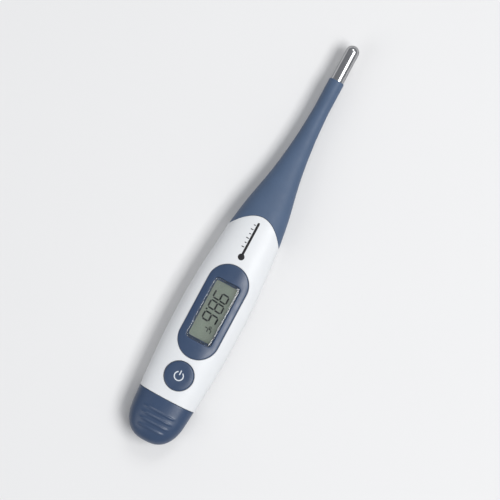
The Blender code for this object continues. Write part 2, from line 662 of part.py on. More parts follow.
# ---------------------------------------------------------------- battery cover and its seal
cover_front = COVER_U + SEAM / 2
profile = [(133.95, 0.0), (133.6, 0.0), (133.0, 0.0), (132.0, 0.0), (130.5, 0.0), (128.5, 0.0), (126.0, 0.0), (123.0, 0.0), (cover_front, 0.0),
           (cover_front, 1.75), (118.6, 1.75), (118.6, 2.25), (116.9, 2.25), (116.9, 2.75),
           (120.5, 2.75), (122.0, 2.3), (126.0, 2.1), (129.0, 2.0), (131.0, 1.9)]


def cover_ring(u, inset):
    pts = []
    for k in range(SIDE_STEPS):
        y, z = skin_point(u, 2 * math.pi * (k + 0.5) / SIDE_STEPS, inset, floor=True)
        pts.append((x_of(u), y * MM, z * MM))
    return pts


cover = loft("battery_cover", SLATE_HARD, [cover_ring(u, i) for u, i in profile])
cover_joint = empty("cover_slide", (x_of(COVER_U), 0, AXIS_Z * MM))
ride(cover, cover_joint)
seal = loft("cover_seal", RUBBER, [cover_ring(u, 1.66) for u in (117.05, 118.45)], cap_start=False, cap_end=False)
face_outwards(seal, (x_of(117.7), 0, AXIS_Z * MM))
wall(seal, 0.5)
ride(seal, cover_joint)

# ---------------------------------------------------------------- the two leads, tip to board
def lead(sign):
    pts = [(X_TIP - u, sign * LEAD_Y, AXIS_Z) for u in np.arange(4.0, 61.0, 3.0)]
    start = (62.0, LEAD_Y, AXIS_Z)
    end = (69.0, 2.4, 7.45)
    for k in range(0, 9):
        t = k / 8
        s = t * t * (3 - 2 * t)
        pts.append((X_TIP - (start[0] + t * (end[0] - start[0])), sign * (start[1] + s * (end[1] - start[1])),
                    start[2] + s * (end[2] - start[2])))
    pts += [(X_TIP - 70.5, sign * 2.4, 7.45), (X_TIP - 72.5, sign * 2.4, 7.45)]
    return pts


wire("lead_wire_a", WIRE_RED, lead(1), LEAD_R)
wire("lead_wire_b", WIRE_WHITE, lead(-1), LEAD_R)
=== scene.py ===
import json
import math

import bmesh
import bpy
import numpy as np
from mathutils import Matrix, Vector


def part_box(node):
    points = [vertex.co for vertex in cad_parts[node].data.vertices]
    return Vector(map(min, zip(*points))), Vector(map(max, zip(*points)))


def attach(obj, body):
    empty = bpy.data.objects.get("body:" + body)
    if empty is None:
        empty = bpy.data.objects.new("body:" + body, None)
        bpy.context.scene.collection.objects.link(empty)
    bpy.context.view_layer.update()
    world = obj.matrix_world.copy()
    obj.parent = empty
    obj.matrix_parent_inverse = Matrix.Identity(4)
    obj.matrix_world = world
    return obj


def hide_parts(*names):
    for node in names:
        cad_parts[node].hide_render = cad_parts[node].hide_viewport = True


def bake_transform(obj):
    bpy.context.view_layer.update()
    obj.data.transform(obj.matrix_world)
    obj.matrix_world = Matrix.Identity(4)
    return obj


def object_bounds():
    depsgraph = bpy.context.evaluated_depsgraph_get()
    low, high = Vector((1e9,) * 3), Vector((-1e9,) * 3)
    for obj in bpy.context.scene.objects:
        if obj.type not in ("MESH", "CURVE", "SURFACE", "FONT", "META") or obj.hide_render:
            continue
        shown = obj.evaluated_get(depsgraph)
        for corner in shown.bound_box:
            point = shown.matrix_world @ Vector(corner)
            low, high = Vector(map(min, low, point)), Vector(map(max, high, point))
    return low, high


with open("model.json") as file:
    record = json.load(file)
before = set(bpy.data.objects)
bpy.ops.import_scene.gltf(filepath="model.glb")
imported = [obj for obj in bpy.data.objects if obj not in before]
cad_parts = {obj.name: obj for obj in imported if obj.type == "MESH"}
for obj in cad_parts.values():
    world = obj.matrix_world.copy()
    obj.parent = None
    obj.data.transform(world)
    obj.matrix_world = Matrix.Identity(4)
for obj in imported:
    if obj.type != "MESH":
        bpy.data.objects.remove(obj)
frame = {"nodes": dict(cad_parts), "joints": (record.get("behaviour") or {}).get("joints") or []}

# Looks for the stick thermometer.  Lengths are in millimetres in the tables and helpers and become
# metres where a mesh is made.  u is the distance back from the end of the metal tip, y is across,
# z is up out of the display.

CAD_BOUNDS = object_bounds()
MM = 0.001


def corner(node):
    lo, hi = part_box(node)
    return [c / MM for c in lo], [c / MM for c in hi]


cap_lo, cap_hi = corner("probe_tip_cap")
XT = cap_hi[0]                                   # the tip's x
LENGTH = 134.0
AXIS_Z = (cap_lo[2] + cap_hi[2]) / 2             # the neck's axis and the parting plane
CAP_R = (cap_hi[2] - cap_lo[2]) / 2
CAP_LENGTH = cap_hi[0] - cap_lo[0]
CAP_SHOWN = XT - corner("neck_collar")[1][0]
HINGES = [XT - j["pos_m"][0] / MM for j in frame["joints"] if j["type"] == "hinge"]
COVER_FRONT = XT - corner("front_shell")[0][0]   # where the housing ends and the cover begins
BEZEL_LO, BEZEL_HI = corner("display_bezel")
LENS_LO, LENS_HI = corner("display_lens")
BUTTON_LO, BUTTON_HI = corner("power_button")
CELL_LO, CELL_HI = corner("battery_can")
NCAP_LO, NCAP_HI = corner("battery_cap")
GASKET_LO, GASKET_HI = corner("battery_gasket")
LCD_LO, LCD_HI = corner("lcd_front_glass")

# ---------------------------------------------------------------- the outline, as in the CAD
HALF_WIDTH = [(0, 2.4), (21.5, 2.4), (24.5, 2.53), (27.5, 2.69), (30.5, 2.9), (33.5, 3.2),
              (36.5, 3.53), (39.5, 3.93), (42.5, 4.38), (45.5, 4.92), (48.5, 5.54), (51.5, 6.2),
              (54.5, 6.84), (57.5, 7.4), (60.5, 7.86), (64.5, 8.45), (71.8, 9.12), (81, 9.92),
              (91, 10.3), (100, 10.22), (110, 9.8), (120, 9.1), (134, 8.0)]
TOP_RISE = [(0, 2.4), (22, 2.4), (30, 2.52), (38, 2.9), (46, 3.6), (54, 4.45), (62, 5.25),
            (70, 5.85), (80, 6.25), (90, 6.4), (100, 6.3), (110, 5.98), (120, 5.45), (134, 4.7)]
BELLY_DROP = [(0, 2.4), (22, 2.4), (30, 2.55), (38, 3.1), (46, 4.0), (52, 4.65), (58, 5.2),
              (64, 5.62), (70, 5.9), (110, 5.9), (134, 5.6)]
CROWN_POWER = [(0, 2.0), (28, 2.0), (60, 2.3), (134, 2.35)]
BELLY_POWER = [(0, 2.0), (28, 2.0), (62, 3.0), (134, 3.0)]
TAIL_START, TAIL_POWER = 124.0, 2.6
EDGE_APEX, EDGE_SAG, EDGE_HALF = 58.4, 6.0, 8.43
SEAM = 0.09                                       # what shows of the gap between two mouldings


class Table:
    """Monotone cubic through (station, value) pairs."""

    def __init__(self, table):
        self.x = np.array([p[0] for p in table], float)
        self.y = np.array([p[1] for p in table], float)
        h, d = np.diff(self.x), np.diff(self.y) / np.diff(self.x)
        m = np.zeros(len(self.x))
        m[0], m[-1] = d[0], d[-1]
        for k in range(1, len(self.x) - 1):
            if d[k - 1] * d[k] > 0:
                w1, w2 = 2 * h[k] + h[k - 1], h[k] + 2 * h[k - 1]
                m[k] = (w1 + w2) / (w1 / d[k - 1] + w2 / d[k])
        self.h, self.m = h, m

    def __call__(self, u):
        x, y, h, m = self.x, self.y, self.h, self.m
        if u <= x[0]:
            return float(y[0])
        if u >= x[-1]:
            return float(y[-1])
        k = int(np.searchsorted(x, u) - 1)
        t = (u - x[k]) / h[k]
        return float(y[k] * (1 + 2 * t) * (1 - t) ** 2 + m[k] * h[k] * t * (1 - t) ** 2
                     + y[k + 1] * t * t * (3 - 2 * t) + m[k + 1] * h[k] * t * t * (t - 1))


half_width, top_rise, belly_drop = Table(HALF_WIDTH), Table(TOP_RISE), Table(BELLY_DROP)
crown_power, belly_power = Table(CROWN_POWER), Table(BELLY_POWER)


def tail_factor(u):
    if u <= TAIL_START:
        return 1.0
    t = min(1.0, (u - TAIL_START) / (LENGTH - TAIL_START))
    return max(0.0, 1 - t ** TAIL_POWER) ** (1 / TAIL_POWER)


def skin(u, angle, inset=0.0):
    """(y, z) in mm of the section at u, angle from +Y towards +Z, drawn in by inset."""
    f = tail_factor(u)
    half = half_width(u) * f
    c, s = math.cos(angle), math.sin(angle)
    if s >= 0:
        high, power = top_rise(u) * f, crown_power(u)
    else:
        high, power = belly_drop(u) * f, belly_power(u)
    y = (half - inset) * math.copysign(abs(c) ** (2 / power), c)
    z = AXIS_Z + (high - inset) * math.copysign(abs(s) ** (2 / power), s)
    return y, max(z, inset)


def crown(x, y, proud=0.0):
    """Height in mm of the housing's top over the point (x, y) in plan."""
    u = XT - x
    f = tail_factor(u)
    half, rise, p = half_width(u) * f, top_rise(u) * f, crown_power(u)
    t = min(1.0, abs(y) / (half + proud))
    return AXIS_Z + (rise + proud) * (1 - t ** p) ** (1 / p)


def belly_z(u, y):
    p = belly_power(u)
    t = min(1.0, abs(y) / half_width(u))
    return max(0.0, AXIS_Z - belly_drop(u) * (1 - t ** p) ** (1 / p))


def edge_station(angle, shift):
    """Where the edge between the soft neck and the housing crosses the skin's line at this angle."""
    u = EDGE_APEX
    for _ in range(30):
        y, _z = skin(u, angle)
        u = 0.5 * u + 0.5 * (EDGE_APEX + EDGE_SAG * (y / EDGE_HALF) ** 2 + shift)
    return u


def rounding(d, r):
    """How far a surface is drawn in at distance d from an edge rounded to radius r."""
    if d >= r:
        return 0.0
    d = max(d, 0.0)
    return r - math.sqrt(max(0.0, r * r - (r - d) ** 2))


# ---------------------------------------------------------------- meshes
def link(name, mesh, mat, sharp=32):
    obj = bpy.data.objects.new(name, mesh)
    bpy.context.scene.collection.objects.link(obj)
    if mat is not None:
        mesh.materials.append(mat)
    if sharp is not None:
        mesh.shade_smooth()
        mesh.set_sharp_from_angle(angle=math.radians(sharp))
    return obj


def from_rings(name, rings, mat, around=True, caps=True, cyclic=False, sharp=32):
    """Rings of points in mm joined into a skin.  caps fills the two ends, cyclic joins last to first.
    A ring of one point makes a fan."""
    bm = bmesh.new()
    rows = [[bm.verts.new((p[0] * MM, p[1] * MM, p[2] * MM)) for p in ring] for ring in rings]
    pairs = list(zip(rows[:-1], rows[1:]))
    if cyclic:
        pairs.append((rows[-1], rows[0]))
    for a, b in pairs:
        n = max(len(a), len(b))
        for k in range(n if around else n - 1):
            j = (k + 1) % n
            if len(a) == 1:
                bm.faces.new((a[0], b[j], b[k]))
            elif len(b) == 1:
                bm.faces.new((a[k], a[j], b[0]))
            else:
                bm.faces.new((a[k], a[j], b[j], b[k]))
    if caps and not cyclic:
        if len(rows[0]) > 2:
            bm.faces.new(list(reversed(rows[0])))
        if len(rows[-1]) > 2:
            bm.faces.new(rows[-1])
    bmesh.ops.recalc_face_normals(bm, faces=bm.faces)
    mesh = bpy.data.meshes.new(name)
    bm.to_mesh(mesh)
    bm.free()
    return link(name, mesh, mat, sharp)


def thick_sheet(name, outer, inner, mat, sharp=32):
    """A closed solid between two open grids of points in mm, rows by columns."""
    n, m = len(outer), len(outer[0])
    bm = bmesh.new()
    a = [[bm.verts.new((p[0] * MM, p[1] * MM, p[2] * MM)) for p in row] for row in outer]
    b = [[bm.verts.new((p[0] * MM, p[1] * MM, p[2] * MM)) for p in row] for row in inner]
    for i in range(n - 1):
        for j in range(m - 1):
            bm.faces.new((a[i][j], a[i][j + 1], a[i + 1][j + 1], a[i + 1][j]))
            bm.faces.new((b[i][j], b[i + 1][j], b[i + 1][j + 1], b[i][j + 1]))
    for i in range(n - 1):
        bm.faces.new((a[i][0], a[i + 1][0], b[i + 1][0], b[i][0]))
        bm.faces.new((a[i][m - 1], b[i][m - 1], b[i + 1][m - 1], a[i + 1][m - 1]))
    for j in range(m - 1):
        bm.faces.new((a[0][j], b[0][j], b[0][j + 1], a[0][j + 1]))
        bm.faces.new((a[n - 1][j], a[n - 1][j + 1], b[n - 1][j + 1], b[n - 1][j]))
    bmesh.ops.recalc_face_normals(bm, faces=bm.faces)
    mesh = bpy.data.meshes.new(name)
    bm.to_mesh(mesh)
    bm.free()
    return link(name, mesh, mat, sharp)


def cut(obj, cutter, operation="DIFFERENCE"):
    """A Boolean with its result stored in the mesh, and the cutter removed."""
    m = obj.modifiers.new("cut", "BOOLEAN")
    m.operation, m.solver, m.object = operation, "EXACT", cutter
    bpy.context.view_layer.update()
    graph = bpy.context.evaluated_depsgraph_get()
    mesh = bpy.data.meshes.new_from_object(obj.evaluated_get(graph), depsgraph=graph)
    obj.modifiers.remove(m)
    old, name = obj.data, obj.data.name
    obj.data = mesh
    bpy.data.meshes.remove(old)
    mesh.name = name
    bpy.data.objects.remove(cutter, do_unlink=True)
    return obj


def turned(name, profile, centre, mat, steps=64, axis="Z", sharp=32):
    """(radius, height) pairs in mm turned about Z, or about X with height running to +X."""
    rings = []
    for r, h in profile:
        if r < 1e-6:
            pts = [(0.0, 0.0, h)]
        else:
            pts = [(r * math.cos(2 * math.pi * k / steps), r * math.sin(2 * math.pi * k / steps), h)
                   for k in range(steps)]
        if axis == "X":
            pts = [(p[2], p[0], p[1]) for p in pts]
        rings.append([(p[0] + centre[0], p[1] + centre[1], p[2] + centre[2]) for p in pts])
    closed = profile[0][0] > 1e-6 and profile[-1][0] > 1e-6
    return from_rings(name, rings, mat, cyclic=closed, caps=False, sharp=sharp)


# outlines in plan, as distances from their centre in a direction
def stadium(half_x, r):
    a = half_x - r

    def at(c, s):
        if abs(s) > 1e-9:
            t = r / abs(s)
            if abs(t * c) <= a:
                return t
        ac = abs(c)
        return a * ac + math.sqrt(max(0.0, r * r - a * a * s * s))
    return at


def rounded_box(half_x, half_y, r):
    def at(c, s):
        c, s = abs(c), abs(s)
        if c > 1e-9 and half_x / c * s <= half_y - r:
            return half_x / c
        if s > 1e-9 and half_y / s * c <= half_x - r:
            return half_y / s
        px, py = half_x - r, half_y - r
        b = px * c + py * s
        return b + math.sqrt(max(0.0, b * b - (px * px + py * py - r * r)))
    return at


def disc(r):
    return lambda c, s: r


def outline(shape, centre, z, angles):
    """A ring of points; z is a height or a function of x and y."""
    ring = []
    for a in angles:
        c, s = math.cos(a), math.sin(a)
        d = shape(c, s)
        x, y = centre[0] + d * c, centre[1] + d * s
        ring.append((x, y, z(x, y) if callable(z) else z))
    return ring


def spread_angles(n, half_x, half_y):
    """Directions that space points about evenly round an outline longer than it is wide."""
    out = []
    for k in range(n):
        t = 2 * math.pi * k / n
        out.append(math.atan2(half_y * math.sin(t), half_x * math.cos(t)))
    return out


# ---------------------------------------------------------------- materials
class Nodes:
    def __init__(self, name):
        self.mat = bpy.data.materials.new(name)
        self.mat.use_nodes = True
        self.tree = self.mat.node_tree
        self.p = self.tree.nodes["Principled BSDF"]
        self.co = self.tree.nodes.new("ShaderNodeTexCoord").outputs["Object"]

    def node(self, kind, **sockets):
        n = self.tree.nodes.new(kind)
        for k, v in sockets.items():
            key = k.replace("_", " ")
            if isinstance(v, bpy.types.NodeSocket):
                self.tree.links.new(v, n.inputs[key])
            else:
                n.inputs[key].default_value = v
        return n

    def scaled(self, sx, sy, sz):
        m = self.tree.nodes.new("ShaderNodeMapping")
        self.tree.links.new(self.co, m.inputs["Vector"])
        m.inputs["Scale"].default_value = (sx, sy, sz)
        return m.outputs["Vector"]

    def noise(self, per_mm, detail=3.0, rough=0.5, stretch=(1, 1, 1), distortion=0.0):
        k = per_mm / MM
        v = self.scaled(k * stretch[0], k * stretch[1], k * stretch[2])
        n = self.node("ShaderNodeTexNoise", Vector=v, Scale=1.0, Detail=detail, Roughness=rough,
                      Distortion=distortion)
        return n.outputs["Fac"]

    def ramp(self, fac, lo, hi, a, b):
        """Maps fac from lo..hi to a..b."""
        n = self.tree.nodes.new("ShaderNodeMapRange")
        self.tree.links.new(fac, n.inputs["Value"])
        for key, v in (("From Min", lo), ("From Max", hi), ("To Min", a), ("To Max", b)):
            n.inputs[key].default_value = v
        return n.outputs["Result"]

    def mix(self, fac, a, b):
        n = self.tree.nodes.new("ShaderNodeMix")
        n.data_type = "RGBA"
        if isinstance(fac, bpy.types.NodeSocket):
            self.tree.links.new(fac, n.inputs[0])
        else:
            n.inputs[0].default_value = fac
        for i, v in ((6, a), (7, b)):
            if isinstance(v, bpy.types.NodeSocket):
                self.tree.links.new(v, n.inputs[i])
            else:
                n.inputs[i].default_value = (*v, 1.0)
        return n.outputs[2]

    def math(self, op, a, b):
        n = self.tree.nodes.new("ShaderNodeMath")
        n.operation = op
        for i, v in ((0, a), (1, b)):
            if isinstance(v, bpy.types.NodeSocket):
                self.tree.links.new(v, n.inputs[i])
            else:
                n.inputs[i].default_value = v
        return n.outputs[0]

    def bump(self, height, distance_mm, strength=1.0):
        n = self.node("ShaderNodeBump", Height=height, Strength=strength, Distance=distance_mm * MM)
        self.tree.links.new(n.outputs["Normal"], self.p.inputs["Normal"])
        return n

    def to(self, socket, value):
        if isinstance(value, bpy.types.NodeSocket):
            self.tree.links.new(value, self.p.inputs[socket])
        else:
            self.p.inputs[socket].default_value = value
        return self


def shade(c, k):
    return tuple(min(1.0, v * k) for v in c)


def moulded(name, colour, rough, grain_mm=0.12, grain_depth=0.004, vary=0.05, spec=0.5, coat=0.0, sheen=0.0,
            subsurface=0.0, rough_vary=0.06):
    """A moulded plastic or rubber: spark-eroded grain, slow flow marks in the colour, worn patches in the gloss."""
    n = Nodes(name)
    slow = n.noise(0.16, 4, 0.55)
    fine = n.noise(2.2, 2, 0.5)
    tone = n.math("ADD", n.math("MULTIPLY", slow, 0.75), n.math("MULTIPLY", fine, 0.25))
    n.to("Base Color", n.mix(n.ramp(tone, 0.3, 0.7, 0, 1), shade(colour, 1 - vary), shade(colour, 1 + vary)))
    patches = n.noise(0.45, 5, 0.6)
    n.to("Roughness", n.ramp(patches, 0.3, 0.7, rough - rough_vary, rough + rough_vary))
    grain = n.noise(1 / grain_mm, 3, 0.65)
    n.bump(n.math("ADD", grain, n.math("MULTIPLY", n.noise(0.35, 2, 0.5), 0.6)), grain_depth)
    n.to("Specular IOR Level", spec)
    if coat:
        n.to("Coat Weight", coat).to("Coat Roughness", 0.12)
    if sheen:
        n.to("Sheen Weight", sheen).to("Sheen Roughness", 0.45)
    if subsurface:
        n.to("Subsurface Weight", subsurface)
        n.p.inputs["Subsurface Radius"].default_value = (0.0012, 0.0011, 0.001)
        n.p.inputs["Subsurface Scale"].default_value = 1.0
    return n.mat


def metal(name, colour, rough, along=(0.03, 1, 1), lines=6.0, depth=0.0012, aniso=0.0, vary=0.05, edge=1.0):
    """Metal with drawing or rolling lines and faint handling marks; edge below 1 sets a dark specular tint that
    paints shade on its rims.
    """
    n = Nodes(name)
    drawn = n.noise(lines, 4, 0.6, along)
    smear = n.noise(0.5, 4, 0.6)
    n.to("Base Color", n.mix(n.ramp(smear, 0.3, 0.7, 0, 1), shade(colour, 1 - vary), shade(colour, 1 + vary * 0.6)))
    r = n.math("ADD", n.ramp(drawn, 0.25, 0.75, rough * 0.75, rough * 1.25), n.ramp(smear, 0.45, 0.75, 0, 0.06))
    n.to("Roughness", r).to("Metallic", 1.0)
    # the specular tint darkens the grazing reflections: with edge below 1 this is painted shade on the rims
    n.p.inputs["Specular Tint"].default_value = (edge, edge, edge, 1.0)
    if aniso:
        n.to("Anisotropic", aniso)
    n.bump(drawn, depth)
    return n.mat


TPE = moulded("slate_elastomer_soft", (0.066, 0.104, 0.176), 0.56, 0.16, 0.005, 0.045, 0.34, sheen=0.06)
SLATE = moulded("slate_plastic_satin", (0.034, 0.06, 0.118), 0.34, 0.14, 0.0022, 0.04, 0.45)
WHITE = moulded("white_abs_satin", (0.685, 0.70, 0.715), 0.42, 0.2, 0.0009, 0.012, 0.36, subsurface=0.06)
WHITE_INNER = moulded("white_abs_inside", (0.8, 0.81, 0.82), 0.5, 0.2, 0.003, 0.02, 0.4)
# the tip's edge tint of 0.25 paints dark shade on its rims
STEEL = metal("stainless_drawn", (0.5, 0.505, 0.515), 0.18, (0.02, 1, 1), 7.0, 0.0004, edge=0.25)
NICKEL = metal("nickel_strip", (0.66, 0.64, 0.58), 0.26, (0.05, 1, 1), 5.0, 0.0015)
CELL_STEEL = metal("cell_can_steel", (0.63, 0.63, 0.64), 0.2, (1, 1, 0.08), 4.0, 0.0015)
BRASS = metal("brass_disc", (0.73, 0.53, 0.22), 0.28, (1, 1, 1), 3.0, 0.002)
SEAL = moulded("seal_rubber", (0.022, 0.023, 0.026), 0.62, 0.08, 0.004, 0.15, 0.35)
ZEBRA = moulded("zebra_rubber_striped", (0.2, 0.2, 0.215), 0.6, 0.1, 0.003, 0.1, 0.3)
NYLON = moulded("nylon_natural", (0.66, 0.64, 0.56), 0.48, 0.15, 0.004, 0.04, 0.4)
BLACK = moulded("epoxy_black", (0.016, 0.016, 0.018), 0.3, 0.12, 0.004, 0.2, 0.5)
AMBER = moulded("epoxy_amber", (0.34, 0.16, 0.035), 0.22, 0.5, 0.004, 0.12, 0.5)
CERAMIC = moulded("ceramic_fired", (0.52, 0.46, 0.37), 0.55, 0.06, 0.004, 0.12, 0.4)
RED = moulded("insulation_red", (0.42, 0.025, 0.018), 0.4, 0.1, 0.002, 0.1, 0.5)
CREAM = moulded("insulation_white", (0.72, 0.71, 0.66), 0.42, 0.1, 0.002, 0.05, 0.5)
INK = moulded("print_ink", (0.0085, 0.0085, 0.0105), 0.42, 0.08, 0.0015, 0.25, 0.35)
SEGMENT = moulded("display_segment", (0.012, 0.014, 0.014), 0.3, 0.3, 0.0005, 0.08, 0.4)
MARK = moulded("button_mark", (0.62, 0.66, 0.7), 0.45, 0.1, 0.002, 0.04, 0.4)


def board_material():
    n = Nodes("board_solder_mask")
    k = 1 / MM
    tracks = n.node("ShaderNodeTexBrick", Vector=n.scaled(k * 0.9, k * 0.9, k * 0.9), Color1=(0.012, 0.1, 0.035, 1),
                    Color2=(0.016, 0.13, 0.045, 1), Mortar=(0.03, 0.21, 0.08, 1), Scale=1.0)
    n.to("Base Color", n.mix(n.ramp(n.noise(1.5, 3), 0.3, 0.7, 0, 0.5), (0.014, 0.11, 0.04), tracks.outputs["Color"]))
    n.to("Roughness", n.ramp(n.noise(3, 3), 0.3, 0.7, 0.26, 0.42))
    n.bump(tracks.outputs["Fac"], 0.03, 0.4)
    return n.mat


def lcd_material():
    """The display cell: grey-green reflector seen through the polariser, with a fine speckle."""
    n = Nodes("display_cell")
    speckle = n.noise(9, 2, 0.5)
    slow = n.noise(0.12, 2, 0.5)
    tone = n.math("ADD", n.math("MULTIPLY", speckle, 0.35), n.math("MULTIPLY", slow, 0.65))
    n.to("Base Color", n.mix(n.ramp(tone, 0.35, 0.65, 0, 1), (0.29, 0.335, 0.27), (0.36, 0.41, 0.335)))
    n.to("Roughness", n.ramp(speckle, 0.3, 0.7, 0.22, 0.34))
    n.bump(speckle, 0.0008)
    return n.mat


def lens_material():
    n = Nodes("clear_window")
    n.to("Base Color", n.mix(n.ramp(n.noise(0.1, 2), 0.3, 0.7, 0, 1), (0.93, 0.95, 0.95), (0.96, 0.975, 0.975)))
    n.to("Roughness", n.ramp(n.noise(0.5, 4), 0.35, 0.7, 0.03, 0.07))
    n.to("Transmission Weight", 1.0).to("IOR", 1.49)
    n.bump(n.noise(0.3, 2), 0.0006)
    return n.mat


BOARD, LCD, LENS = board_material(), lcd_material(), lens_material()

# ---------------------------------------------------------------- metal tip
pieces = []


def done(obj, body, slot, *replaced):
    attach(obj, body)
    if replaced:
        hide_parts(*replaced)
    pieces.append(obj)
    return obj


wall_t = 0.2
prof = []
dome_steps = 20
for k in range(dome_steps + 1):
    a = math.pi / 2 * k / dome_steps
    prof.append((CAP_R * math.sin(a), CAP_LENGTH - CAP_R + CAP_R * math.cos(a)))
prof[0] = (0.0, CAP_LENGTH)
for f in np.linspace(0.95, 0.0, 24):
    prof.append((CAP_R, (CAP_LENGTH - CAP_R) * f))
ri = CAP_R - wall_t
for f in np.linspace(0.0, 1.0, 8):
    prof.append((ri, (CAP_LENGTH - CAP_R) * f))
for k in range(1, 9):
    a = math.pi / 2 * (1 - k / 8)
    prof.append((ri * math.sin(a), CAP_LENGTH - CAP_R + ri * math.cos(a)))
prof[-1] = (0.0, CAP_LENGTH - wall_t)
done(turned("metal_tip", prof, (XT - CAP_LENGTH, 0, AXIS_Z), STEEL, 96, "X"), "probe", "stainless_steel", "probe_tip_cap")

# ---------------------------------------------------------------- soft neck, one skin cut where no hinge is
AROUND = 96
ANGLES = [2 * math.pi * (k + 0.5) / AROUND for k in range(AROUND)]
EDGE_ARC = [edge_station(a, -SEAM / 2) for a in ANGLES]
BORE_R = 1.15


def neck_inner(u, angle):
    """The soft part's inside: a round bore in the neck that opens to a shell under the skirt."""
    t = min(1.0, max(0.0, (u - 42.5) / 4.0))
    t = t * t * (3 - 2 * t)
    wy, wz = skin(u, angle, 1.5)
    ry, rz = BORE_R * math.cos(angle), AXIS_Z + BORE_R * math.sin(angle)
    if u < CAP_LENGTH + 0.05:
        r = CAP_R + 0.03
        return r * math.cos(angle), AXIS_Z + r * math.sin(angle)
    return ry + t * (wy - ry), rz + t * (wz - rz)


cuts = [(a + b) / 2 for a, b in zip(HINGES[:-1], HINGES[1:])]       # mid-segment stations
spans = []
for k, h in enumerate(HINGES):
    back = None if k == 0 else cuts[k - 1]
    front = CAP_SHOWN if k == len(HINGES) - 1 else cuts[k]
    spans.append((front, back))

for k, (front, back) in enumerate(spans):
    name = "neck_skin_%d" % (k + 1)
    outer, inner = [], []
    if back is None:
        ts = np.concatenate([np.linspace(0, 0.985, 62), [0.99, 0.993, 0.996, 0.998, 0.9993, 1.0]])
    elif k == len(HINGES) - 1:
        ts = np.concatenate([[0, 0.004, 0.009, 0.016, 0.024, 0.034, 0.05], np.linspace(0.08, 1, 30)])
    else:
        ts = np.linspace(0, 1, 15)
    for t in ts:
        ro, rn = [], []
        for a, e in zip(ANGLES, EDGE_ARC):
            end = e if back is None else back
            u = front + t * (end - front)
            inset = 0.0
            if back is None:
                inset = rounding(end - u, 0.16)
            if k == len(HINGES) - 1:
                inset = rounding(u - front, 0.22)
            y, z = skin(u, a, inset)
            ro.append((XT - u, y, z))
            y, z = neck_inner(u, a)
            rn.append((XT - u, y, z))
        outer.append(ro)
        inner.append(rn)
    obj = from_rings(name, outer + inner[::-1], TPE, cyclic=True, caps=False, sharp=50)
    h = HINGES[k]
    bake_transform(obj)
    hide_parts(*(["neck_skirt"] if k == 0 else ["neck_ring_%d" % k] if k < 5 else ["neck_ring_5", "neck_collar"]))
    pieces.append(obj)

# the two leads inside it, cut at the same stations
LEAD_Y, LEAD_R = 0.5, 0.2


def lead_path(sign, u):
    if u <= 62:
        return (XT - u, sign * LEAD_Y, AXIS_Z)
    t = min(1.0, (u - 62.0) / 7.0)
    s = t * t * (3 - 2 * t)
    return (XT - u, sign * (LEAD_Y + s * 1.9), AXIS_Z + s * (7.45 - AXIS_Z))


for side, sign, mat, slot in (("a", 1, RED, "red_insulation"), ("b", -1, CREAM, "white_insulation")):
    for k in range(len(HINGES)):
        front = 4.0 if k == len(HINGES) - 1 else cuts[k]
        back = 72.5 if k == 0 else cuts[k - 1]
        us = np.linspace(front, back, max(10, int((back - front) * 2)))
        rings = []
        pts = [Vector(lead_path(sign, u)) for u in us]
        for i, p in enumerate(pts):
            d = (pts[min(i + 1, len(pts) - 1)] - pts[max(i - 1, 0)]).normalized()
            side_v = d.cross(Vector((0, 0, 1))).normalized()
            up_v = side_v.cross(d).normalized()
            rings.append([tuple(p + LEAD_R * (math.cos(a) * side_v + math.sin(a) * up_v))
                          for a in [2 * math.pi * j / 12 for j in range(12)]])
        obj = from_rings("lead_%s_%d" % (side, k + 1), rings, mat)
        h = HINGES[k]
        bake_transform(obj)
        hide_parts("lead_wire_" + side)
        pieces.append(obj)

# ---------------------------------------------------------------- housing shells
SHELL_WALL = 1.6
ARC = 84
fine = [0, 0.0012, 0.0028, 0.005, 0.008, 0.012]
TS = np.array(fine + list(np.linspace(0.02, 0.98, 84)) + [1 - f for f in fine[::-1]])
half_fine = [0.0, 0.0035, 0.0075, 0.0125, 0.02]
AS = np.array(half_fine + list(np.linspace(0.032, math.pi - 0.032, ARC)) + [math.pi - f for f in half_fine[::-1]])
EDGE_R = 0.16


def shell(name, sign):
    outer, inner = [], []
    fronts = [edge_station(sign * a, SEAM / 2) for a in AS]
    rear = COVER_FRONT + 0.3 - SEAM
    for t in TS:
        ro, rn = [], []
        for a, front in zip(AS, fronts):
            u = front + t * (rear - front)
            _y, z0 = skin(u, sign * a)
            lift = abs(z0 - AXIS_Z)
            inset = max(rounding(u - front, EDGE_R), rounding(rear - u, EDGE_R), rounding(lift - SEAM / 2, EDGE_R))
            y, z = skin(u, sign * a, inset)
            z = max(z, AXIS_Z + SEAM / 2) if sign > 0 else min(z, AXIS_Z - SEAM / 2)
            ro.append((XT - u, y, z))
            y, z = skin(u, sign * a, SHELL_WALL)
            z = max(z, AXIS_Z + SEAM / 2) if sign > 0 else min(z, AXIS_Z - SEAM / 2)
            rn.append((XT - u, y, z))
        outer.append(ro)
        inner.append(rn)
    return thick_sheet(name, outer, inner, WHITE)


front_shell = shell("housing_front", 1)
bez_mid = (BEZEL_LO[0] + BEZEL_HI[0]) / 2
bez_half = (BEZEL_HI[0] - BEZEL_LO[0]) / 2
bez_r = (BEZEL_HI[1] - BEZEL_LO[1]) / 2
N_OUT = 192
bez_angles = spread_angles(N_OUT, bez_half, bez_r)
btn_x = (BUTTON_LO[0] + BUTTON_HI[0]) / 2
BTN_R = 4.5


def opening(name, shape_of, centre, angles, gap, floor_z, chamfer=0.14):
    """A cutter for an opening in the crown: straight walls with a small chamfer where they meet the skin."""
    below = lambda x, y: crown(x, y) - chamfer
    above = lambda x, y: crown(x, y) + chamfer * 1.5
    rings = [outline(shape_of(gap), centre, floor_z, angles), outline(shape_of(gap), centre, below, angles),
             outline(shape_of(gap + chamfer * 2.2), centre, above, angles),
             outline(shape_of(gap + chamfer * 2.2), centre, 14.0, angles)]
    return from_rings(name, rings, None, sharp=None)


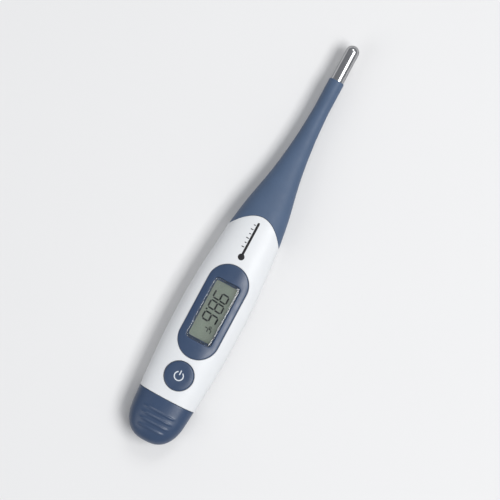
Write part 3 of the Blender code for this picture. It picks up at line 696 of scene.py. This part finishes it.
cut(front_shell, opening("c1", lambda g: stadium(bez_half + g, bez_r + g), (bez_mid, 0), bez_angles, 0.07, 10.1))
cut(front_shell, from_rings("c2", [outline(stadium(bez_half - 1.0, bez_r - 1.0), (bez_mid, 0), z, bez_angles) for z in (6.5, 11.9)], None, sharp=None))
cut(front_shell, opening("c3", lambda g: disc(BTN_R + g), (btn_x, 0), spread_angles(96, 1, 1), 0.1, 6.5))
front_shell.data.set_sharp_from_angle(angle=math.radians(32))
done(front_shell, "housing", "white_plastic", "front_shell")

rear_shell = shell("housing_rear", -1)
# a shallow blank panel in the flat back, where a label would go
panel_mid, panel_half_x, panel_half_y = XT - 93.0, 15.0, 4.6
cut(rear_shell, from_rings("c4", [outline(rounded_box(panel_half_x + g, panel_half_y + g, 1.2 + g), (panel_mid, 0), z,
                                          spread_angles(128, panel_half_x, panel_half_y))
                                  for g, z in ((0.0, 0.16), (0.2, -0.04), (0.2, -1.0))], None, sharp=None))
rear_shell.data.set_sharp_from_angle(angle=math.radians(32))
done(rear_shell, "housing", "white_plastic", "rear_shell")

# ---------------------------------------------------------------- display surround, window and digits
lens_mid = (LENS_LO[0] + LENS_HI[0]) / 2
lens_hx, lens_hy = (LENS_HI[0] - LENS_LO[0]) / 2, (LENS_HI[1] - LENS_LO[1]) / 2
view_hx, view_hy = lens_hx - 0.8, lens_hy - 0.6
BZ = BEZEL_LO[2]
lens_floor = LENS_LO[2]
proud = lambda x, y: crown(x, y, 0.08)
rings = [outline(stadium(bez_half, bez_r), (bez_mid, 0), BZ, bez_angles)]
r_edge = 0.3
for k in range(7):
    a = math.pi / 2 * k / 6
    inset = r_edge * (1 - math.cos(a))
    rings.append(outline(stadium(bez_half - inset, bez_r - inset), (bez_mid, 0),
                         (lambda a: lambda x, y: proud(x, y) - r_edge * (1 - math.sin(a)))(a), bez_angles))
first = outline(stadium(bez_half - r_edge, bez_r - r_edge), (bez_mid, 0), 0.0, bez_angles)
last = outline(rounded_box(lens_hx + 0.28, lens_hy + 0.28, 1.3), (lens_mid, 0), 0.0, bez_angles)
for f in np.linspace(0.1, 1.0, 10):
    ring = []
    for p, q in zip(first, last):
        x, y = p[0] + f * (q[0] - p[0]), p[1] + f * (q[1] - p[1])
        # the surround dishes a little towards the window
        ring.append((x, y, proud(x, y) - 0.1 * f * f))
    rings.append(ring)
for g, dz in ((0.2, 0.12), (0.12, 0.17), (0.06, 0.25)):
    rings.append(outline(rounded_box(lens_hx + g, lens_hy + g, 1.2), (lens_mid, 0),
                         (lambda dz: lambda x, y: proud(x, y) - 0.1 - dz + 0.1)(dz), bez_angles))
rings.append(outline(rounded_box(lens_hx + 0.06, lens_hy + 0.06, 1.2), (lens_mid, 0), lens_floor - 0.06, bez_angles))
rings.append(outline(rounded_box(view_hx, view_hy, 0.7), (lens_mid, 0), lens_floor - 0.06, bez_angles))
rings.append(outline(rounded_box(view_hx, view_hy, 0.7), (lens_mid, 0), BZ, bez_angles))
bezel = from_rings("display_surround", rings, SLATE, cyclic=True, caps=False)
done(bezel, "housing", "slate_plastic", "display_bezel")

lens_angles = spread_angles(160, lens_hx, lens_hy)
lens_top = lambda x, y: crown(x, y) - 0.02
rings = [[(lens_mid, 0, lens_floor)]]
rings += [outline(rounded_box(lens_hx * f, lens_hy * f, 1.1 * f), (lens_mid, 0), lens_floor, lens_angles) for f in (0.35, 0.7, 1.0)]
for k in range(5):
    a = math.pi / 2 * k / 4
    inset = 0.16 * (1 - math.cos(a))
    rings.append(outline(rounded_box(lens_hx - inset, lens_hy - inset, 1.1), (lens_mid, 0),
                         (lambda a: lambda x, y: lens_top(x, y) - 0.16 * (1 - math.sin(a)))(a), lens_angles))
for f in (0.92, 0.82, 0.7, 0.58, 0.46, 0.34, 0.22, 0.1):
    rings.append(outline((lambda f: lambda c, s: f * rounded_box(lens_hx - 0.16, lens_hy - 0.16, 1.1)(c, s))(f), (lens_mid, 0), lens_top, lens_angles))
rings.append([(lens_mid, 0, lens_top(lens_mid, 0))])
done(from_rings("display_window", rings, LENS, caps=False), "housing", "clear_lens", "display_lens")


def slab(name, pts, z0, z1, mat, body="housing", slot="black_epoxy", bevel=0.0):
    """A flat plate from an outline in plan."""
    n = len(pts)
    cx, cy = sum(p[0] for p in pts) / n, sum(p[1] for p in pts) / n
    rings = [[(p[0], p[1], z0) for p in pts], [(p[0], p[1], z1 - bevel) for p in pts]]
    if bevel:
        rings.append([(cx + (p[0] - cx) * (1 - bevel / 2), cy + (p[1] - cy) * (1 - bevel / 2), z1) for p in pts])
    obj = from_rings(name, rings, mat)
    return done(obj, body, slot)


# seven-segment figures on the display, read with the tip to the left
SEG_W, DIG_H, DIG_W, DIG_GAP, SLANT = 0.5, 4.3, 2.35, 0.85, 0.09
SEGMENTS = {"0": "abcdef", "1": "bc", "2": "abged", "3": "abgcd", "4": "fgbc", "5": "afgcd", "6": "afgedc",
            "7": "abc", "8": "abcdefg", "9": "abcdfg", "F": "afeg"}


def segment_shape(which):
    w, h, s, e = DIG_W, DIG_H / 2, SEG_W / 2, 0.07
    bars = {"a": ((0, 2 * h), (w, 2 * h)), "g": ((0, h), (w, h)), "d": ((0, 0), (w, 0)),
            "f": ((0, h), (0, 2 * h)), "b": ((w, h), (w, 2 * h)), "e": ((0, 0), (0, h)), "c": ((w, 0), (w, h))}
    (x0, y0), (x1, y1) = bars[which]
    L = math.hypot(x1 - x0, y1 - y0)
    dx, dy = (x1 - x0) / L, (y1 - y0) / L
    nx, ny = -dy, dx
    out = []
    for along, across in ((e, 0), (s + e, s), (L - s - e, s), (L - e, 0), (L - s - e, -s), (s + e, -s)):
        out.append((x0 + dx * along + nx * across, y0 + dy * along + ny * across))
    return out


def on_display(px, py, origin, scale=1.0):
    """Reading coordinates (right, up) to the part's x and y."""
    rx, ry = origin[0] + (px + SLANT * py) * scale, origin[1] + py * scale
    return (lens_mid - rx, -ry)


zl = LCD_HI[2]
pen = -(3 * (DIG_W + DIG_GAP) + 0.95) / 2 - 1.0
count = 0
for ch in "98.6":
    if ch == ".":
        c = on_display(-0.1, 0, (pen, -DIG_H / 2))
        pts = [(c[0] + 0.3 * math.cos(2 * math.pi * k / 20), c[1] + 0.3 * math.sin(2 * math.pi * k / 20)) for k in range(20)]
        slab("display_point", pts, zl + 0.012, zl + 0.05, SEGMENT)
        pen += 0.55
        continue
    for seg in SEGMENTS[ch]:
        pts = [on_display(px, py, (pen, -DIG_H / 2)) for px, py in segment_shape(seg)]
        count += 1
        slab("display_segment_%02d" % count, pts, zl + 0.012, zl + 0.05, SEGMENT)
    pen += DIG_W + DIG_GAP
# the small degree sign and unit
pen += 0.1
dc = on_display(0.35, 3.55, (pen, -DIG_H / 2))
angs = [2 * math.pi * k / 28 for k in range(28)]
rings = [[(dc[0] + r * math.cos(a), dc[1] + r * math.sin(a), z) for a in angs]
         for r, z in ((0.42, zl + 0.012), (0.42, zl + 0.05), (0.22, zl + 0.05), (0.22, zl + 0.012))]
done(from_rings("display_degree", rings, SEGMENT, cyclic=True, caps=False), "housing", "black_epoxy")
for seg in SEGMENTS["F"]:
    pts = [on_display(px, py, (pen + 1.05, -0.1), 0.5) for px, py in segment_shape(seg)]
    slab("display_unit_%s" % seg, pts, zl + 0.012, zl + 0.05, SEGMENT)

# ---------------------------------------------------------------- printed pictogram on the shell
PRINT_MID_U, PRINT_Y = 66.6, 0.63


def printed(name, shape, centre, angles, lift=0.035, scale_rings=(0.97, 0.85, 0.65, 0.42, 0.2)):
    """A thin layer of ink that follows the crown inside an outline."""
    low = lambda x, y: crown(x, y) + 0.004
    high = lambda x, y: crown(x, y) + lift
    rings = [[(centre[0], centre[1], low(*centre))]]
    rings += [outline((lambda f: lambda c, s: f * shape(c, s))(f), centre, low, angles) for f in scale_rings[::-1]]
    rings.append(outline(shape, centre, low, angles))
    rings.append(outline(shape, centre, high, angles))
    rings += [outline((lambda f: lambda c, s: f * shape(c, s))(f), centre, high, angles) for f in scale_rings]
    rings.append([(centre[0], centre[1], high(*centre))])
    return done(from_rings(name, rings, INK, caps=False), "housing", "black_epoxy")


def bulb_and_stem(bulb_r, stem_half, reach):
    """Round bulb about the origin with a round-ended stem towards +X."""
    def at(c, s):
        best = bulb_r
        if c > 0:
            if abs(s) < 1e-9:
                return reach
            t = stem_half / abs(s)
            if t * c <= reach - stem_half:
                best = max(best, t)
            else:
                p = reach - stem_half
                b = p * c
                q = b * b - (p * p - stem_half * stem_half)
                if q > 0:
                    best = max(best, b + math.sqrt(q))
        return best
    return at


icon_angles = sorted(set([round(math.copysign(abs(k / 60.0) ** 2.4 * math.pi, k), 6) for k in range(-60, 60)]))
bulb_x = XT - PRINT_MID_U - 5.2
printed("pictogram_stem", bulb_and_stem(1.0, 0.36, 11.4), (bulb_x, PRINT_Y - 0.25), icon_angles)
tick_angles = spread_angles(24, 1, 1)
for k in range(6):
    printed("pictogram_tick_%d" % (k + 1), rounded_box(0.14, 0.32 if k % 2 else 0.45, 0.12),
            (bulb_x + 3.0 + 1.45 * k, PRINT_Y + 0.78 - (0.13 if k % 2 else 0.0)), tick_angles, scale_rings=(0.6,))

# ---------------------------------------------------------------- power button
bz = BUTTON_HI[2]
dish_r = 3.3


def button_top(x, y):
    r = math.hypot(x - btn_x, y)
    dish = 0.16 * max(0.0, 1 - (r / dish_r) ** 2) ** 1.5
    return crown(x, y, 0.45) - dish


b_angles = spread_angles(96, 1, 1)
c0 = (btn_x, 0)
zb = BUTTON_LO[2]
rings = [[(btn_x, 0, zb + 1.3)], outline(disc(1.25), c0, zb + 1.3, b_angles), outline(disc(1.25), c0, zb + 2.2, b_angles),
         outline(disc(3.7), c0, zb + 2.2, b_angles), outline(disc(3.7), c0, zb, b_angles),
         outline(disc(4.95), c0, zb, b_angles), outline(disc(4.95), c0, zb + 0.65, b_angles),
         outline(disc(BTN_R), c0, zb + 0.65, b_angles)]
for k in range(8):
    a = math.pi / 2 * k / 7
    inset = 0.42 * (1 - math.cos(a))
    rings.append(outline(disc(BTN_R - inset), c0,
                         (lambda a: lambda x, y: button_top(x, y) - 0.42 * (1 - math.sin(a)))(a), b_angles))
for r in (3.85, 3.6, 3.4, 3.2, 2.9, 2.5, 2.0, 1.4, 0.7):
    rings.append(outline(disc(r), c0, button_top, b_angles))
rings.append([(btn_x, 0, button_top(btn_x, 0))])
done(from_rings("button_cap", rings, SLATE, caps=False), "button", "slate_plastic", "power_button")

# a generic on-off mark, standing a little proud of the dish
mark_low = lambda x, y: button_top(x, y) - 0.01
mark_high = lambda x, y: button_top(x, y) + 0.05
gap_half = 0.55
a0, a1 = gap_half, 2 * math.pi - gap_half
mid_r, half_t = 1.35, 0.17
rings = []
for k in range(41):
    a = a0 + (a1 - a0) * k / 40
    # the gap faces the tip
    ring = []
    for rr, zf in ((mid_r - half_t, mark_low), (mid_r + half_t, mark_low), (mid_r + half_t, mark_high), (mid_r - half_t, mark_high)):
        x, y = btn_x + rr * math.cos(a), rr * math.sin(a)
        ring.append((x, y, zf(x, y)))
    rings.append(ring)
done(from_rings("button_mark_ring", rings, MARK), "button", "white_plastic")
rings = []
for k in range(9):
    x = btn_x + 0.35 + 1.45 * k / 8
    rings.append([(x, -half_t, mark_low(x, 0)), (x, half_t, mark_low(x, 0)), (x, half_t, mark_high(x, 0)), (x, -half_t, mark_high(x, 0))])
done(from_rings("button_mark_bar", rings, MARK), "button", "white_plastic")

# ---------------------------------------------------------------- battery cover with grip ridges
RIDGES = [124.0, 125.9, 127.8, 129.7]


def ridge(u, angle):
    """How far a grip ridge stands out of the skin."""
    s = math.sin(angle)
    if s <= 0:
        return 0.0
    y, _z = skin(u, angle)
    across = abs(y) / (half_width(u) * tail_factor(u) + 1e-6)
    fade = 1 - min(1.0, max(0.0, (across - 0.42) / 0.2))
    fade = fade * fade * (3 - 2 * fade)
    best = 0.0
    for r in RIDGES:
        d = abs(u - r)
        if d < 0.6:
            best = max(best, 0.26 * (math.cos(math.pi * d / 0.6) + 1) / 2)
    return best * fade


cov_front = COVER_FRONT + 0.3
outer_u = []
for d in (0, 0.02, 0.05, 0.09, 0.14, 0.2, 0.3):
    outer_u.append(cov_front + d)
outer_u += list(np.arange(cov_front + 0.6, 131.0, 0.16))
for k in range(1, 29):
    outer_u.append(131.0 + 2.999 * math.sin(math.pi / 2 * k / 28))
outer_rings = []
for u in outer_u:
    ring = []
    for a in ANGLES:
        inset = rounding(u - cov_front, 0.2) - ridge(u, a)
        y, z = skin(u, a, inset)
        ring.append((XT - u, y, z))
    outer_rings.append(ring)
inner_prof = [(cov_front, 1.75), (118.6, 1.75), (118.6, 2.25), (116.9, 2.25), (116.9, 2.75), (118.7, 2.75), (120.5, 2.75),
              (122.0, 2.3), (126.0, 2.1), (129.0, 2.0), (131.0, 1.9)]
inner_rings = []
for u, inset in inner_prof:
    inner_rings.append([(XT - u, *skin(u, a, inset)) for a in ANGLES])
# from the tail's outside, forward to the shoulder, then the plug and back inside to the inner end wall
rings = outer_rings[::-1] + inner_rings
cover = from_rings("tail_cover", rings, SLATE, caps=True, sharp=38)
done(cover, "cover", "slate_plastic", "battery_cover")

# its seal: a rubber band with two lips
seal_lo, seal_hi = corner("cover_seal")
us, ue = XT - seal_hi[0], XT - seal_lo[0]
rings = []
for k in range(17):
    t = k / 16
    lip = 0.12 * (1 - abs(math.cos(2 * math.pi * t)))
    u = us + t * (ue - us)
    rings.append([(XT - u, *skin(u, a, 1.66 + lip)) for a in ANGLES])
for t in (1.0, 0.5, 0.0):
    u = us + t * (ue - us)
    rings.append([(XT - u, *skin(u, a, 2.14)) for a in ANGLES])
done(from_rings("tail_seal", rings, SEAL, cyclic=True, caps=False), "cover", "dark_rubber", "cover_seal")

# ---------------------------------------------------------------- button cell, seen when the cover is off
cell_c = ((CELL_LO[0] + CELL_HI[0]) / 2, 0)
cr, z0, z1 = (CELL_HI[0] - CELL_LO[0]) / 2, CELL_LO[2], CELL_HI[2]
prof = [(0, z1)]
prof += [(cr * 0.5, z1), (cr - 0.75, z1), (cr - 0.68, z1 - 0.05), (cr - 0.6, z1)]
for k in range(7):
    a = math.pi / 2 * k / 6
    prof.append((cr - 0.35 + 0.35 * math.sin(a), z1 - 0.35 + 0.35 * math.cos(a)))
prof += [(cr, z0 + 0.45), (cr - 0.03, z0 + 0.3), (cr - 0.12, z0 + 0.12), (cr - 0.28, z0), (cr - 0.35, z0 + 0.02), (cr - 0.35, z0 + 0.4), (0, z0 + 0.4)]
done(turned("cell_can", prof, (*cell_c, 0), CELL_STEEL, 96), "housing", "stainless_steel", "battery_can")
# a plain plus sign pressed in the can's top
plus = [(0.14, 0.75), (0.14, 0.14), (0.75, 0.14), (0.75, -0.14), (0.14, -0.14), (0.14, -0.75), (-0.14, -0.75), (-0.14, -0.14),
        (-0.75, -0.14), (-0.75, 0.14), (-0.14, 0.14), (-0.14, 0.75)]
slab("cell_plus", [(cell_c[0] - 2.3 + p[0], p[1]) for p in plus][::-1], z1 - 0.02, z1 + 0.03, CELL_STEEL, slot="stainless_steel")
nr, nz0, nz1 = (NCAP_HI[0] - NCAP_LO[0]) / 2, NCAP_LO[2], NCAP_HI[2]
prof = [(0, nz1), (nr - 0.06, nz1), (nr, nz1 - 0.1), (nr - 0.02, nz0 + 0.12), (nr - 0.12, nz0 + 0.03), (nr - 0.3, nz0), (0, nz0)]
done(turned("cell_cap", prof, (*cell_c, 0), NICKEL, 96), "housing", "nickel_plate", "battery_cap")
gr, gz0, gz1 = (GASKET_HI[0] - GASKET_LO[0]) / 2, GASKET_LO[2], GASKET_HI[2]
prof = [(gr, gz1), (gr, gz0 + 0.06), (gr - 0.06, gz0), (gr - 0.24, gz0), (gr - 0.3, gz0 + 0.06), (gr - 0.3, gz1)]
done(turned("cell_gasket", prof, (*cell_c, 0), NYLON, 96), "housing", "natural_nylon", "battery_gasket")

# ---------------------------------------------------------------- finishes of the CAD nodes that stay
FINISH = {
    "thermistor_bead": BLACK, "tip_potting": AMBER, "neck_insert": WHITE_INNER, "lcd_front_glass": LCD,
    "lcd_rear_glass": LCD, "lcd_reflector": LCD, "zebra_strip_left": ZEBRA, "zebra_strip_right": ZEBRA,
    "lcd_frame": NYLON, "circuit_board": BOARD, "chip_glob": BLACK, "smd_capacitor_1": CERAMIC,
    "smd_capacitor_2": CERAMIC, "smd_resistor_1": BLACK, "smd_resistor_2": BLACK, "switch_body": BLACK,
    "switch_plate": NICKEL, "switch_plunger": NYLON, "buzzer_plate": BRASS, "buzzer_ceramic": CERAMIC,
    "buzzer_spring_1": NICKEL, "buzzer_spring_2": NICKEL, "chassis": NYLON,
    "battery_contact_positive": NICKEL, "battery_contact_negative": NICKEL,
}
for node, mat in FINISH.items():
    obj = frame["nodes"][node]
    for s in obj.material_slots:
        s.material = mat
    obj.data.shade_smooth()
    obj.data.set_sharp_from_angle(angle=math.radians(34))

# ---------------------------------------------------------------- floor, light, camera
def plain(name, colour, rough):
    n = Nodes(name)
    n.to("Base Color", n.mix(n.ramp(n.noise(0.02, 2), 0.3, 0.7, 0, 1), shade(colour, 0.995), colour)).to("Roughness", rough)
    n.to("Specular IOR Level", 0.2)
    return n.mat


floor_rings = []
for r in (0.0, 200.0, 600.0, 2400.0):
    floor_rings.append([(0, 0, -0.05)] if r == 0 else [(r * math.cos(2 * math.pi * k / 48), r * math.sin(2 * math.pi * k / 48), -0.05) for k in range(48)])
floor = from_rings("floor", floor_rings, plain("floor_paper", (0.73, 0.73, 0.73), 0.9), caps=False)

lo, hi = CAD_BOUNDS
centre = Vector(((lo[0] + hi[0]) / 2, 0, AXIS_Z * MM))
lean = math.radians(28.2)
# the picture's right and up in the part's frame, looking straight down on the display
right = Vector((math.sin(lean), -math.cos(lean), 0))
up = Vector((math.cos(lean), math.sin(lean), 0))
back = right.cross(up)
cam_data = bpy.data.cameras.new("camera")
cam_data.sensor_width, cam_data.lens = 36, 120
cam_data.clip_start, cam_data.clip_end = 0.01, 20
cam = bpy.data.objects.new("camera", cam_data)
bpy.context.scene.collection.objects.link(cam)
VIEW_MM = 150.0
distance = VIEW_MM * MM * cam_data.lens / cam_data.sensor_width
rot = Matrix((right, up, back)).transposed().to_4x4()
aim = centre - up * 0.002
cam.matrix_world = Matrix.Translation(aim + back * distance) @ rot
bpy.context.scene.camera = cam


def area(name, at, target, length, width, power, colour=(1, 1, 1)):
    """A soft box facing the target, its length laid along the part's axis."""
    data = bpy.data.lights.new(name, "AREA")
    data.shape = "RECTANGLE"
    data.size, data.size_y = length, width
    data.energy, data.color = power, colour
    obj = bpy.data.objects.new(name, data)
    bpy.context.scene.collection.objects.link(obj)
    z = (Vector(at) - Vector(target)).normalized()
    x = (Vector((1, 0, 0)) - z * z.x).normalized()
    obj.matrix_world = Matrix.Translation(at) @ Matrix((x, z.cross(x), z)).transposed().to_4x4()
    return obj


def placed(across, along, h):
    """A point beside the part: across to the picture's right of its axis, along towards the tip, and its height."""
    return centre + Vector((along, -across, h))


area("key", placed(0.7, 0.12, 1.22), centre, 0.9, 0.55, 16.5)
area("fill", placed(-0.85, -1.05, 1.0), centre, 1.0, 1.0, 5.2)
area("top", placed(-0.1, 1.15, 1.25), centre, 0.6, 0.6, 5.0)
world = bpy.data.worlds.new("studio")
bpy.context.scene.world = world
world.use_nodes = True
bg = world.node_tree.nodes["Background"]
bg.inputs["Color"].default_value = (0.93, 0.95, 1.0, 1)
bg.inputs["Strength"].default_value = 0.32
bpy.context.scene.view_settings.view_transform = "Standard"
